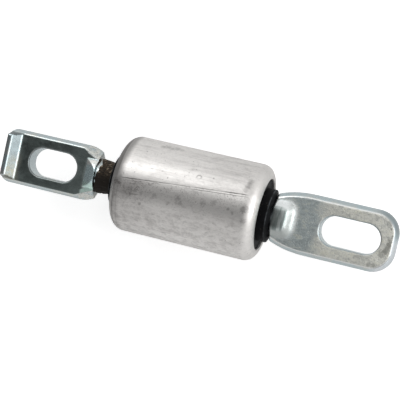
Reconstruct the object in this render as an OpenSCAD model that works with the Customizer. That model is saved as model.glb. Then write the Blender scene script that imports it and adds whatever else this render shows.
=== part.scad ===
// Control arm bushing: a rolled steel sleeve, the rubber in it, and a forged bar pin with two slotted tabs.
// The bar lies along X with its hooked tab at minus X, and the flat faces of the tabs look along Z.
// The origin is the middle of the sleeve, on its axis. All sizes are in millimetres.

/* [Sleeve] */
// Outside diameter of the sleeve, which presses into the arm's eye
sleeve_d = 43; // [40:0.5:50]
// Length of the sleeve over its two rolled ends
sleeve_l = 66; // [50:0.5:90]
// Wall thickness of the sleeve
sleeve_wall = 2; // [1.5:0.1:3]
// Outside radius of each rolled end
roll_r = 5.25; // [4.5:0.25:6.5]
// Width of the flat lip inside each roll
lip_w = 0.5; // [0.3:0.1:1.5]
// Chamfer on the cut edge of each lip
lip_chamfer = 0.3; // [0.1:0.05:0.5]

/* [Rubber] */
// Depth of the rubber's end faces below the sleeve's ends
recess = 1; // [0.3:0.1:1.5]
// Diameter of the rubber collar round the bar at each end
collar_d = 23.5; // [20:0.5:26]
// How far each collar stands out past the sleeve
collar_out = 2.9; // [1.5:0.1:3.5]
// Height of the cone between the collar's edge and the bar
cone_h = 1.2; // [0.4:0.1:1.3]
// Thickness of the rubber skin on the bar's neck where it leaves the collar
skin_t = 0.7; // [0.4:0.1:1]

/* [Bar] */
// Diameter of the round bar
bar_d = 16; // [14:0.5:18]
// Diameter of the neck under the rubber skin
neck_d = 13; // [11:0.5:13.5]
// Length of the neck that lies inside the sleeve
neck_in = 6; // [3:0.5:10]
// Thickness of both tabs
tab_t = 8.8; // [7:0.1:10]
// Width of both slots, for a bolt of 12 mm
slot_w = 13; // [11:0.5:15]
// Chamfer round both slots, on both faces
slot_chamfer = 0.3; // [0.2:0.1:1]

/* [Hooked tab] */
// Distance from the sleeve's end to the tab's shoulder
hook_neck_l = 12; // [8:0.5:20]
// Width of the tab
hook_w = 25; // [23:0.5:30]
// Width of the tab at its shoulder
hook_root_w = 21.7; // [20:0.1:22.5]
// Length over which the tab widens from its shoulder
hook_fan_l = 7; // [5:0.5:9]
// How far the forged sides bulge between the two faces
hook_bulge = 1.55; // [0.8:0.05:2.5]
// Length of the ramp from the tab's face up to the round bar
hook_ramp_l = 6; // [4:0.5:9]
// Distance from the shoulder to the near end of the slot
hook_slot_start = 9.75; // [9.25:0.25:15]
// Length of the slot, end to end
hook_slot_l = 23.3; // [18:0.1:30]
// Flat length between the slot and the hook
hook_land = 5.7; // [4:0.1:10]
// Thickness of the hook where it leaves the tab's face
hook_root_t = 5.75; // [4.5:0.05:8]
// Thickness of the hook at its crest
hook_crest_t = 2.2; // [1.2:0.1:3]
// Height of the hook above the tab's face
hook_h = 3.6; // [3:0.1:8]
// Length of the hook's crest across the tab
hook_crest_w = 18.6; // [14:0.2:21]
// Facet that eases the corner between the flat and the hook
hook_fillet = 0.5; // [0.2:0.1:1]
// Chamfer round the crest of the hook
hook_edge = 0.25; // [0.2:0.05:0.5]
// How far the hook's outer face leans in over its height
hook_lean = 0.1; // [0:0.1:1]
// How far the shoulder facets draw the face in at the root, on each side
hook_shoulder_in = 2; // [0.5:0.1:2.5]
// Angle between the tab's length and the edge that a shoulder facet leaves on the face
hook_shoulder_turn = 24; // [15:1:35]
// Corner cut on the tab's free end, seen on its face
hook_corner = 1.5; // [0.5:0.1:2]

/* [Plain tab] */
// Width of the tab
plain_w = 27; // [25:0.5:32]
// Width of the tab at its root
plain_root_w = 21.2; // [20:0.1:24]
// Length over which the tab widens from its root
plain_fan_l = 15.5; // [12:0.5:20]
// How far the forged sides bulge between the two faces
plain_bulge = 2; // [1:0.05:2.5]
// Length of the boss's level top, from the root
boss_l = 5.8; // [4:0.2:9]
// Width of the boss where it meets the tab's face
boss_w = 16; // [14:0.25:16.5]
// Length of the slope round the boss, from its top down to the face
boss_ramp_l = 3.4; // [2.5:0.1:3.8]
// Radius of the boss's two corners where they meet the face
boss_corner = 4.8; // [4.6:0.1:6]
// Radius that rounds the crest of the boss
boss_round = 1.8; // [0.8:0.1:2]
// Distance from the root to the near end of the slot
plain_slot_start = 20.7; // [20.2:0.1:28]
// Length of the slot, end to end
plain_slot_l = 26.4; // [20:0.1:34]
// Metal left between the slot and the tip
plain_land = 7; // [5:0.1:10]
// Radius of the two corners of the tip
tip_r = 10; // [8:0.25:12]

/* [Clearances] */
// Gap between the rubber and the steel that it is bonded to
bond_gap = 0.05; // [0.02:0.01:0.1]
// Gap along the bar between the rubber and each tab
end_gap = 0.3; // [0.2:0.05:0.5]

/* [Hidden] */
$fn = 96;

// Extra length on every cutting solid, so that it runs past the faces that it cuts
over = 1;
// Overlap of two sections that are drawn end to end, so that they become one
weld = 0.01;
// Steps in which each corner of the boss turns through its right angle
boss_steps = 3;

sleeve_r = sleeve_d / 2;
half_l = sleeve_l / 2;
bore_r = sleeve_r - sleeve_wall;
roll_centre_x = half_l - roll_r;
roll_centre_r = sleeve_r - roll_r;
inner_roll_r = roll_r - sleeve_wall;
mouth_r = roll_centre_r - lip_w;

bar_r = bar_d / 2;
neck_r = neck_d / 2;
collar_r = collar_d / 2;
collar_x = half_l + collar_out;
cone_x = collar_x + cone_h;
face_x = half_l - recess;
skin_r = neck_r + skin_t;
face_z = tab_t / 2;

hook_x = -(half_l + hook_neck_l);
hook_slot_x = hook_x - hook_slot_start - hook_slot_l / 2;
hook_foot_x = hook_x - hook_slot_start - hook_slot_l - hook_land;
hook_end_x = hook_foot_x - hook_root_t;

root_x = cone_x + end_gap;
plain_slot_x = root_x + plain_slot_start + plain_slot_l / 2;
tip_x = root_x + plain_slot_start + plain_slot_l + plain_land;
tip_corner = [tip_x - tip_r, plain_w / 2 - tip_r];

neck_end_x = -(half_l - neck_in);
skin_end_x = hook_x + end_gap;

// Lays a profile drawn as [x, radius] round the X axis
module turned() {
    rotate([90, 0, 90]) rotate_extrude() rotate(90) mirror([0, 1]) children();
}

// Draws a profile [x, z] and gives it a depth across the tab
module across(depth) {
    translate([0, depth / 2, 0]) rotate([90, 0, 0]) linear_extrude(depth) children();
}

// Draws a profile [y, z] and runs it from x1 to x2
module along(x1, x2) {
    translate([x1, 0, 0]) rotate([90, 0, 90]) linear_extrude(x2 - x1) children();
}

// Half of the sleeve's section, from its middle to one rolled end
module sleeve_section() {
    translate([-over, bore_r]) square([roll_centre_x + over, sleeve_wall]);
    intersection() {
        translate([roll_centre_x, roll_centre_r]) difference() {
            circle(roll_r);
            circle(inner_roll_r);
        }
        translate([roll_centre_x, roll_centre_r]) square(roll_r + over);
    }
    polygon([
        [half_l - sleeve_wall, roll_centre_r + weld],
        [half_l - sleeve_wall, mouth_r + lip_chamfer],
        [half_l - sleeve_wall + lip_chamfer, mouth_r],
        [half_l - lip_chamfer, mouth_r],
        [half_l, mouth_r + lip_chamfer],
        [half_l, roll_centre_r + weld]
    ]);
}

module outer_sleeve() {
    color([0.72, 0.71, 0.70]) turned() {
        sleeve_section();
        mirror([1, 0]) sleeve_section();
    }
}

// What the roll leaves outside the rubber, at the end of the sleeve towards plus X
module roll_corner() {
    translate([roll_centre_x, roll_centre_r]) difference() {
        square(inner_roll_r + over);
        circle(inner_roll_r - bond_gap);
    }
}

// The rubber's whole section in one outline, with a corner taken off inside each roll
module rubber_section() {
    bar_room_r = bar_r + bond_gap;
    neck_room_r = neck_r + bond_gap;
    bore_fill_r = bore_r - bond_gap;
    mouth_fill_r = mouth_r - bond_gap;
    wall_x = half_l - sleeve_wall - bond_gap;
    difference() {
        polygon([
            [skin_end_x, neck_room_r],
            [skin_end_x, bar_r],
            [-cone_x, skin_r],
            [-collar_x, collar_r],
            [-face_x, collar_r],
            [-face_x, mouth_fill_r],
            [-wall_x, mouth_fill_r],
            [-wall_x, bore_fill_r],
            [wall_x, bore_fill_r],
            [wall_x, mouth_fill_r],
            [face_x, mouth_fill_r],
            [face_x, collar_r],
            [collar_x, collar_r],
            [cone_x, bar_room_r],
            [neck_end_x - bond_gap, bar_room_r],
            [neck_end_x - bond_gap, neck_room_r]
        ]);
        roll_corner();
        mirror([1, 0]) roll_corner();
    }
}

module rubber() {
    color([0.07, 0.07, 0.07]) turned() rubber_section();
}

// The turned part of the bar, from the hooked tab's shoulder to the plain tab's root
module turned_bar() {
    turned() {
        translate([neck_end_x, 0]) square([root_x - neck_end_x, bar_r]);
        translate([hook_x - over, 0]) square([neck_end_x - hook_x + 2 * over, neck_r]);
    }
}

// Section of a forged tab: two flat faces, and sides that bulge as arcs
module tab_section(w, bulge) {
    side_r = (bulge * bulge + face_z * face_z) / (2 * bulge);
    intersection() {
        translate([-w / 2, -face_z]) square([w, tab_t]);
        union() {
            translate([side_r - w / 2, -face_z]) square([w - 2 * side_r, tab_t]);
            translate([w / 2 - side_r, 0]) circle(side_r);
            translate([side_r - w / 2, 0]) circle(side_r);
        }
    }
}

// A round disc with the same bulged rim
module tab_disc(r, bulge) {
    side_r = (bulge * bulge + face_z * face_z) / (2 * bulge);
    rotate_extrude() intersection() {
        translate([0, -face_z]) square([r, tab_t]);
        union() {
            translate([r - side_r, 0]) circle(side_r);
            translate([0, -face_z]) square([max(r - side_r, 0) + weld, tab_t]);
        }
    }
}

// The widening end of a tab. It grows along plus X from root_w to w over fan_l, in one arc each side.
module fan(root_w, w, fan_l, bulge) {
    rise = (w - root_w) / 2;
    fan_r = (fan_l * fan_l + rise * rise) / (2 * rise);
    intersection() {
        translate([fan_l, w / 2 - fan_r, 0]) tab_disc(fan_r, bulge);
        translate([fan_l, fan_r - w / 2, 0]) tab_disc(fan_r, bulge);
        translate([0, -w / 2, -face_z]) cube([fan_l, w, tab_t]);
    }
}

// A slot through a tab, with both of its edges broken
module slot_cut(length) {
    r = slot_w / 2;
    reach = length / 2 - r;
    depth = face_z + over;
    wide = r + slot_chamfer + over;
    for (side = [-1, 1]) {
        translate([side * reach, 0, -depth]) cylinder(h = 2 * depth, r = r);
        for (face = [-1, 1]) {
            mirror([0, 0, face > 0 ? 1 : 0]) translate([side * reach, 0, -depth])
                cylinder(h = wide - r, r1 = wide, r2 = r);
        }
    }
    rotate([90, 0, 90]) translate([0, 0, -reach]) linear_extrude(2 * reach) {
        square([slot_w, 2 * depth], center = true);
        for (face = [-1, 1]) {
            polygon([[-wide, face * depth], [wide, face * depth], [r, face * (depth + r - wide)],
                [-r, face * (depth + r - wide)]]);
        }
    }
}

// The hook that stands on the free end of its tab
module hook() {
    crest_z = face_z + hook_h;
    outer_x = hook_end_x + hook_lean;
    intersection() {
        across(hook_w) polygon([
            [hook_foot_x + hook_fillet, -face_z],
            [hook_foot_x + hook_fillet, face_z],
            [hook_foot_x, face_z + hook_fillet],
            [outer_x + hook_crest_t, crest_z - hook_edge],
            [outer_x + hook_crest_t - hook_edge, crest_z],
            [outer_x + hook_edge, crest_z],
            [outer_x, crest_z - hook_edge],
            [hook_end_x, 0],
            [hook_end_x + hook_edge, -face_z]
        ]);
        along(hook_end_x - over, hook_foot_x + over) union() {
            tab_section(hook_w, hook_bulge);
            polygon([
                [-hook_w / 2, 0],
                [hook_w / 2, 0],
                [hook_crest_w / 2 + hook_edge, crest_z - hook_edge],
                [hook_crest_w / 2 - hook_edge, crest_z],
                [hook_edge - hook_crest_w / 2, crest_z],
                [-hook_edge - hook_crest_w / 2, crest_z - hook_edge]
            ]);
        }
    }
}

// What the forging leaves off the hooked tab's shoulder, on one side above the middle plane
module shoulder_cut() {
    slope_w = hook_bulge + hook_shoulder_in;
    tilt = atan(slope_w * cos(hook_shoulder_turn) / face_z);
    reach = 2 * hook_root_w;
    translate([hook_x, hook_root_w / 2 - slope_w, face_z]) rotate([0, 0, -hook_shoulder_turn])
        rotate([tilt, 0, 0]) translate([-reach, 0, -reach]) cube([2 * reach, reach, 2 * reach]);
}

// The hooked tab, with the ramp that carries its face up to the round bar
module hooked_tab() {
    corner_side = hook_corner * sqrt(2);
    difference() {
        union() {
            along(hook_foot_x, hook_x - hook_fan_l) tab_section(hook_w, hook_bulge);
            translate([hook_x, 0, 0]) mirror([1, 0, 0]) fan(hook_root_w, hook_w, hook_fan_l, hook_bulge);
            hook();
        }
        translate([hook_slot_x, 0, 0]) slot_cut(hook_slot_l);
        for (side = [-1, 1]) {
            translate([hook_end_x, side * hook_w / 2, 0]) rotate(45)
                cube([corner_side, corner_side, 2 * (face_z + hook_h + over)], center = true);
        }
        for (side = [0, 1], face = [0, 1]) {
            mirror([0, side, 0]) mirror([0, 0, face]) shoulder_cut();
        }
    }
    intersection() {
        turned() translate([hook_x - hook_ramp_l, 0]) square([hook_ramp_l, bar_r]);
        across(bar_d + over) polygon([
            [hook_x - hook_ramp_l, -face_z],
            [hook_x - hook_ramp_l, face_z],
            [hook_x, bar_r],
            [hook_x, -bar_r]
        ]);
    }
}

// Profile of the boss above and below the tab: level, then a rounded crest and a slope to its foot
module boss_profile(reach) {
    slope = atan2(bar_r - face_z, boss_ramp_l);
    crest = boss_round * tan(slope / 2);
    top = [reach - boss_ramp_l, bar_r];
    difference() {
        polygon([
            [-bar_d, -bar_r],
            [top[0], -bar_r],
            [reach, -face_z],
            [reach, face_z],
            top,
            [-bar_d, bar_r]
        ]);
        for (face = [0, 1]) {
            mirror([0, face]) difference() {
                polygon([top - [crest, 0], top + [0, over], top + crest * [cos(slope), -sin(slope)]]);
                translate([top[0] - crest, top[1] - boss_round]) circle(boss_round);
            }
        }
    }
}

// The squared end of the bar, which stands above the plain tab's faces as a boss. The profile is
// laid in several directions, so that the two corners turn in steps.
module boss() {
    corner = [root_x + boss_l + boss_ramp_l - boss_corner, boss_w / 2 - boss_corner];
    intersection() {
        along(root_x, root_x + bar_d) square(2 * bar_d, center = true);
        translate([corner[0], 0, 0]) intersection_for(turn = [-90 : 90 / boss_steps : 90]) {
            rotate([0, 0, turn]) across(2 * bar_d) boss_profile(boss_corner + corner[1] * abs(sin(turn)));
        }
    }
}

// The plain tab, with the end of the round bar standing above its faces
module plain_tab() {
    difference() {
        union() {
            translate([root_x, 0, 0]) fan(plain_root_w, plain_w, plain_fan_l, plain_bulge);
            along(root_x + plain_fan_l, tip_corner[0]) tab_section(plain_w, plain_bulge);
            across(2 * tip_corner[1]) translate([tip_x, 0]) mirror([1, 0]) intersection() {
                translate([plain_w / 2, 0]) tab_section(plain_w, plain_bulge);
                translate([0, -face_z]) square([tip_r + over, tab_t]);
            }
            for (side = [-1, 1]) {
                translate([tip_corner[0], side * tip_corner[1], 0]) tab_disc(tip_r, plain_bulge);
            }
        }
        translate([plain_slot_x, 0, 0]) slot_cut(plain_slot_l);
    }
    boss();
}

module bar_pin() {
    color([0.62, 0.65, 0.66]) {
        turned_bar();
        hooked_tab();
        plain_tab();
    }
}

outer_sleeve();
rubber();
bar_pin();
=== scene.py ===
"""Looks of a control arm bushing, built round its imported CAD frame.

The bush has three pieces: a drawn steel sleeve with rolled ends, the rubber moulded in it, and a
forged and plated bar pin with one hooked tab and one plain tab. +X runs along the bar to the plain
tab, and +Z is the side of the tabs where the hook stands. Shapes are in metres. Places and
distances in the materials are in millimetres.
"""

import functools
import math

import bmesh
import bpy
import numpy as np
from mathutils import Matrix, Vector
from mathutils.bvhtree import BVHTree
from mathutils.kdtree import KDTree


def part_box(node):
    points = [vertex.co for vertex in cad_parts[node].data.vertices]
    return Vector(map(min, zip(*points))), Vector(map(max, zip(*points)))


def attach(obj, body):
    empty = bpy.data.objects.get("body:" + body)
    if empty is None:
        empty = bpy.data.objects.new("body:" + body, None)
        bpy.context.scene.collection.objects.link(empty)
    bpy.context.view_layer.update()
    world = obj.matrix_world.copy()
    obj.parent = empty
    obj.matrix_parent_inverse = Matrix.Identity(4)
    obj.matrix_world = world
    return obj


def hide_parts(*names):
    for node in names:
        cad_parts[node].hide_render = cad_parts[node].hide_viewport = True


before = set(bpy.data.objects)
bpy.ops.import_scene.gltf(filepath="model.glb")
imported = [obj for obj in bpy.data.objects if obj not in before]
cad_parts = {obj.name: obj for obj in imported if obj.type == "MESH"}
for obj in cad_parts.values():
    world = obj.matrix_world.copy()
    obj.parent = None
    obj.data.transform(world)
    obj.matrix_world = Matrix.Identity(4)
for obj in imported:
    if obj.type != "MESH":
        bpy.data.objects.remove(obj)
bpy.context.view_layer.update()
SLEEVE_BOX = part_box("outer_sleeve")
RUBBER_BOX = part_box("rubber")
PIN_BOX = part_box("bar_pin")

bl_info = {
    "name": "Control arm bushing",
    "version": (1, 0, 0),
    "blender": (4, 5, 0),
    "location": "3D View > Sidebar > Bushing",
    "description": "Builds the finished look of a bonded bar-pin bush",
    "category": "Object",
}


# Settings

def metres(name, description, default):
    """A length that a user can change."""
    return bpy.props.FloatProperty(
        name=name, description=description, default=default, min=0.0,
        precision=5, unit="LENGTH", subtype="DISTANCE")


def colour(name, description, default):
    """A linear colour that a user can change."""
    return bpy.props.FloatVectorProperty(
        name=name, description=description, default=default, min=0.0, max=1.0,
        size=3, subtype="COLOR")


class SleeveSettings(bpy.types.PropertyGroup):
    """Sizes and colours of the drawn sleeve."""
    outside_diameter: metres("Outside diameter", "Diameter that presses into the arm's eye",
                             float(SLEEVE_BOX[1][2] - SLEEVE_BOX[0][2]))
    length: metres("Length", "Length over the two rolled ends",
                   float(SLEEVE_BOX[1][0] - SLEEVE_BOX[0][0]))
    wall: metres("Wall", "Thickness of the tube's wall", 0.002)
    roll_radius: metres("Roll radius", "Outside radius of each rolled end", 0.00525)
    lip_width: metres("Lip width", "Flat lip inside each roll", 0.0005)
    lip_chamfer: metres("Lip chamfer", "Chamfer on the cut edge of each lip", 0.0003)
    dent: metres("Dents", "Depth of the shallow dents in the outer wall", 0.00005)
    steel: colour("Steel", "Bare drawn steel", (0.84, 0.822, 0.80))
    # This grey is also the colour of the painted shade on the sleeve.
    stain_and_shade: colour("Stain", "Grey handling stains", (0.23, 0.215, 0.21))


class RubberSettings(bpy.types.PropertyGroup):
    """Sizes and colours of the moulded rubber."""
    recess: metres("Recess", "Depth of the rubber's faces inside the mouths", 0.001)
    collar_diameter: metres("Collar diameter", "Diameter of the collar round the bar", 0.0235)
    collar_height: metres("Collar height", "How far each collar stands out past the sleeve",
                          0.0029)
    cone_height: metres("Cone height", "Height of the cone from the collar to the bar", 0.0012)
    skin: metres("Skin", "Thickness of the skin on the neck", 0.0007)
    bar_diameter: metres("Bar diameter", "Diameter of the round bar", 0.016)
    neck_diameter: metres("Neck diameter", "Diameter of the neck under the skin", 0.013)
    neck_inside: metres("Neck inside", "Length of the neck inside the sleeve", 0.006)
    gap: metres("Gap", "Gap between the rubber and the steel", 0.00005)
    corner: metres("Corner", "Radius of the moulded corners", 0.00015)
    uneven: metres("Uneven skin", "Depth of the uneven surface of the skin", 0.00022)
    ragged: metres("Ragged end", "How far the skin's end is worn back here and there", 0.0008)
    torn: metres("Torn end", "How far the skin is torn back on its upper side", 0.0012)
    black: colour("Black", "Carbon-filled rubber", (0.0025, 0.0025, 0.003))
    dust: colour("Dust", "Pale brown specks on the neck", (0.34, 0.28, 0.21))


class PinSettings(bpy.types.PropertyGroup):
    """Sizes and colours of the forged bar pin."""
    cell: metres("Mesh cell", "Size of the mesh cells of the forging", 0.00037)
    edge_radius: metres("Edge radius", "Rough radius of the forged edges", 0.0005)
    sink: metres("Forging sink", "Depth of the shallow waves in the forged faces", 0.00004)
    zinc: colour("Zinc", "Bright zinc plate", (0.62, 0.655, 0.65))
    blue: colour("Blue tint", "Bluish tint of the passivated plate", (0.53, 0.625, 0.65))
    yellow: colour("Yellow tint", "Yellowish tint of the passivated plate", (0.66, 0.65, 0.53))
    green: colour("Green tint", "Greenish plate on the hooked tab's face", (0.26, 0.31, 0.30))
    cool_face: colour("Cool face", "Grainy face of the plain tab by the boss",
                      (0.44, 0.49, 0.495))
    warm_face: colour("Warm face", "Grainy face of the plain tab round its slot",
                      (0.76, 0.76, 0.70))


class StageSettings(bpy.types.PropertyGroup):
    """The table, the light and the camera."""
    table: colour("Table", "Colour of the table", (0.80, 0.80, 0.80))
    table_size: metres("Table size", "Length of the table's side", 6.0)
    focal: bpy.props.FloatProperty(
        name="Focal length", description="Focal length of the camera on a 36 mm sensor",
        default=103.5, min=20.0, max=300.0, unit="CAMERA")
    key: bpy.props.FloatProperty(
        name="Key light", description="Power of the large soft light behind the bush",
        default=1.1, min=0.0, max=50.0, unit="POWER")
    side: bpy.props.FloatProperty(
        name="Side light", description="Power of the soft light beyond the plain tab",
        default=2.2, min=0.0, max=50.0, unit="POWER")


class BushingSettings(bpy.types.PropertyGroup):
    """All the settings of the bush."""
    sleeve: bpy.props.PointerProperty(
        name="Sleeve", description="The drawn sleeve", type=SleeveSettings)
    rubber: bpy.props.PointerProperty(
        name="Rubber", description="The moulded rubber", type=RubberSettings)
    pin: bpy.props.PointerProperty(
        name="Pin", description="The forged bar pin", type=PinSettings)
    stage: bpy.props.PointerProperty(
        name="Stage", description="Table, light and camera", type=StageSettings)


# Node helpers

class Wire:
    """An output of a node. Arithmetic on a wire adds Math nodes to its tree."""

    def __init__(self, tree, socket):
        self.tree = tree
        self.socket = socket

    def maths(self, operation, *others):
        """One Math node with this wire as its first value."""
        return wire(self.tree, "ShaderNodeMath", dict(enumerate((self, *others))),
                    operation=operation)

    def vector(self, operation, other, output=0):
        """One Vector Math node with this wire as its first vector."""
        return wire(self.tree, "ShaderNodeVectorMath", {0: self, 1: other}, output,
                    operation=operation)

    def ease(self, low, high, to_low=0.0, to_high=1.0):
        """A smooth step from to_low to to_high while the wire goes from low to high."""
        return wire(self.tree, "ShaderNodeMapRange",
                    {"Value": self, "From Min": low, "From Max": high,
                     "To Min": to_low, "To Max": to_high}, interpolation_type="SMOOTHSTEP")

    def __add__(self, other):
        return self.maths("ADD", other)

    def __sub__(self, other):
        return self.maths("SUBTRACT", other)

    def __rsub__(self, other):
        return self * -1.0 + other

    def __mul__(self, other):
        return self.maths("MULTIPLY", other)

    def __abs__(self):
        return self.maths("ABSOLUTE")


def plug(socket, value):
    """Links a socket, or sets its default value. Colours are given as three numbers."""
    if isinstance(value, Wire):
        value.tree.links.new(value.socket, socket)
    elif socket.type == "RGBA":
        socket.default_value = (*value, 1.0)
    else:
        socket.default_value = value


def feed(node, values):
    """Links or sets some inputs of a node."""
    for key, value in values.items():
        plug(node.inputs[key], value)


def put(tree, kind, values=None, **settings):
    """Adds a node, and sets its options and its inputs."""
    node = tree.nodes.new(kind)
    for key, value in settings.items():
        setattr(node, key, value)
    feed(node, values or {})
    return node


def wire(tree, kind, values=None, output=0, **settings):
    """Adds a node and gives one of its outputs."""
    return Wire(tree, put(tree, kind, values, **settings).outputs[output])


def most(first, *others):
    """The largest of some values."""
    for other in others:
        first = first.maths("MAXIMUM", other)
    return first


def length_of(first, second):
    """Length of a flat vector with these two parts."""
    return (first * first + second * second).maths("SQRT")


def split(vector):
    """The three parts of a vector."""
    outputs = put(vector.tree, "ShaderNodeSeparateXYZ", {0: vector}).outputs
    return [Wire(vector.tree, socket) for socket in outputs]


def mix(factor, first, second):
    """Mixes two colours."""
    return wire(factor.tree, "ShaderNodeMix", {"Factor": factor, 6: first, 7: second}, 2,
                data_type="RGBA")


def layered(base, *layers):
    """Mixes more colours over the first one, each given as its factor and itself."""
    for factor, shade in layers:
        base = mix(factor, base, shade)
    return base


def scaled(shade, amount):
    """A colour made darker or lighter."""
    return tuple(amount * v for v in shade)


def noise(vector, scale, detail=2.0, roughness=0.5, distortion=0.0):
    """A noise texture's value."""
    return wire(vector.tree, "ShaderNodeTexNoise",
                {"Vector": vector, "Scale": scale, "Detail": detail, "Roughness": roughness,
                 "Distortion": distortion}, "Fac")


def streaky(vector, along, across, detail=2.0, roughness=0.5, distortion=0.0):
    """A noise with one scale along the bar and another across it."""
    return noise(vector.vector("MULTIPLY", (along, across, across)), 1.0, detail, roughness,
                 distortion)


def node_group(name, inputs, outputs=("Mask",)):
    """Turns a function on wires into a shader node group, which is built at its first use.

    The inputs come with their defaults, and None stands for a vector.
    """
    def decorate(build):
        def make():
            tree = bpy.data.node_groups.new(name, "ShaderNodeTree")
            for label, default in inputs.items():
                kind = "NodeSocketVector" if default is None else "NodeSocketFloat"
                socket = tree.interface.new_socket(label, in_out="INPUT", socket_type=kind)
                if default is not None:
                    socket.default_value = default
            for label in outputs:
                tree.interface.new_socket(label, in_out="OUTPUT", socket_type="NodeSocketFloat")
            start, end = tree.nodes.new("NodeGroupInput"), tree.nodes.new("NodeGroupOutput")
            results = build(*(Wire(tree, start.outputs[label]) for label in inputs))
            feed(end, dict(zip(outputs, results)))
            return tree

        @functools.wraps(build)
        def place(first, *others):
            group = bpy.data.node_groups.get(name) or make()
            node = put(first.tree, "ShaderNodeGroup", dict(zip(inputs, (first, *others))),
                       node_tree=group)
            results = [Wire(first.tree, node.outputs[label]) for label in outputs]
            return results[0] if len(results) == 1 else results
        return place
    return decorate


@node_group("Soft Band", {"Value": 0.0, "Low": -1.0, "High": 1.0, "Softness": 0.1})
def band(value, low, high, soft):
    """Mask of a band between two values, with soft limits."""
    return (value.ease(low - soft, low + soft) * value.ease(high - soft, high + soft, 1.0, 0.0),)


@node_group("Round Mark", {"Vector": None, "Centre": None, "Radius": 1.0, "Softness": 0.3,
                           "Raggedness": 0.3, "Hollow": -9.0})
def spot(vector, centre, radius, soft, ragged, hollow):
    """Mask of one round mark on a surface, ragged by a noise."""
    wobble = (noise(vector, 1.3, 5.0, 0.65) - 0.5) * (ragged * (radius * 8.0))
    reach = vector.vector("DISTANCE", centre, "Value") + wobble
    return (reach.ease(radius - soft, radius + soft, 1.0, 0.0)
            * reach.ease(hollow - soft, hollow + soft),)


@node_group("Slot Rim", {"Vector": None, "Middle": 0.0, "Reach": 5.0, "Radius": 6.5,
                         "Width": 0.5})
def slot_rim(vector, middle, reach, radius, width):
    """Mask of the strip round a slot that runs along X."""
    x, y, _ = split(vector)
    past = most(abs(x - middle) - reach, 0.0)
    away = length_of(past, y) - radius
    return (away.ease(width, width * 1.9, 1.0, 0.0) * away.ease(-1.2, -0.8),)


@node_group("Scattered Specks", {"Vector": None, "Scale": 1.0, "Threshold": 0.65,
                                 "Softness": 0.03})
def specks(vector, scale, threshold, soft):
    """Mask of small scattered specks."""
    return (noise(vector, scale, 3.0, 0.6).ease(threshold - soft, threshold + soft),)


@node_group("Surface Grain", {"Vector": None, "Fine Scale": 4.0, "Slow Scale": 0.3},
            ("Height", "Slow"))
def surface_grain(vector, fine, slow):
    """Fine all-over grain: a height, and a slow variation of it."""
    return noise(vector, fine, 2.0, 0.55), noise(vector, slow, 3.0, 0.55)


def new_material(name):
    """A material, its Principled shader, and the place on its surface in millimetres."""
    material = bpy.data.materials.new(name)
    material.use_nodes = True
    tree = material.node_tree
    place = wire(tree, "ShaderNodeTexCoord", output="Object")
    return (material, tree.nodes["Principled BSDF"],
            place.vector("MULTIPLY", (1000.0, 1000.0, 1000.0)))


def bump(height, strength):
    """The normal of a surface with a height in millimetres."""
    return wire(height.tree, "ShaderNodeBump",
                {"Height": height, "Strength": strength, "Distance": 0.001}, "Normal")


# Materials

SLEEVE_MARKS = (
    # centre in millimetres, radius, softness, raggedness, darkness
    ((11.7, 11.0, 18.5), 0.35, 0.2, 0.1, 0.75),
    ((-28.5, 3.8, 21.2), 0.45, 0.25, 0.2, 0.85),
    ((-27.2, 4.6, 21.0), 0.35, 0.2, 0.2, 0.8),
    ((-15.3, 19.2, 9.7), 1.1, 0.9, 0.25, 0.55),
    ((-13.4, 19.5, 9.1), 1.4, 1.0, 0.25, 0.60),
    ((-11.3, 19.3, 9.5), 1.2, 0.9, 0.25, 0.50),
    ((-9.4, 19.6, 8.8), 1.3, 1.0, 0.25, 0.55),
    ((-7.3, 19.5, 9.0), 1.0, 0.9, 0.25, 0.40),
    ((-29.4, 0.4, 21.4), 1.0, 0.6, 0.4, 0.6),
    ((-22.5, -1.9, 21.4), 1.2, 0.8, 0.5, 0.65),
    ((-24.4, -3.2, 21.2), 3.0, 2.0, 0.4, 0.35),
    ((-17.4, -2.0, 21.4), 0.8, 0.5, 0.4, 0.5),
    ((-11.4, -1.9, 21.4), 0.9, 0.5, 0.5, 0.5),
    ((-1.0, -0.6, 21.5), 1.1, 0.7, 0.5, 0.6),
    ((-17.4, -6.7, 20.4), 0.7, 0.4, 0.2, 0.8),
    ((0.4, -2.2, 21.4), 0.9, 0.5, 0.5, 0.55),
    ((5.6, 4.1, 21.1), 1.1, 0.7, 0.4, 0.4),
    ((10.2, 0.0, 21.5), 1.1, 0.6, 0.5, 0.5),
    ((14.8, 1.2, 21.5), 1.0, 0.6, 0.4, 0.45),
    ((21.3, -0.1, 21.5), 0.6, 0.4, 0.3, 0.7),
    ((23.4, -1.2, 21.5), 0.7, 0.4, 0.4, 0.6),
    ((27.9, 1.2, 21.5), 1.5, 0.8, 0.4, 0.65),
    ((27.4, 13.3, 16.9), 1.0, 1.0, 0.28, 0.75),
    ((27.4, 12.0, 17.8), 1.1, 1.0, 0.28, 0.85),
    ((27.1, 10.7, 18.6), 1.1, 1.0, 0.28, 0.85),
    ((26.8, 9.3, 19.3), 0.9, 1.0, 0.28, 0.65),
    ((28.6, -3.6, 21.2), 1.2, 0.8, 0.4, 0.5),
)
RING_MARK = ((5.5, 10.0, 19.0), 1.25, 0.3, 0.12, 0.95)
RING_HOLLOW = 0.75
NO_HOLLOW = -9.0

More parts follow.
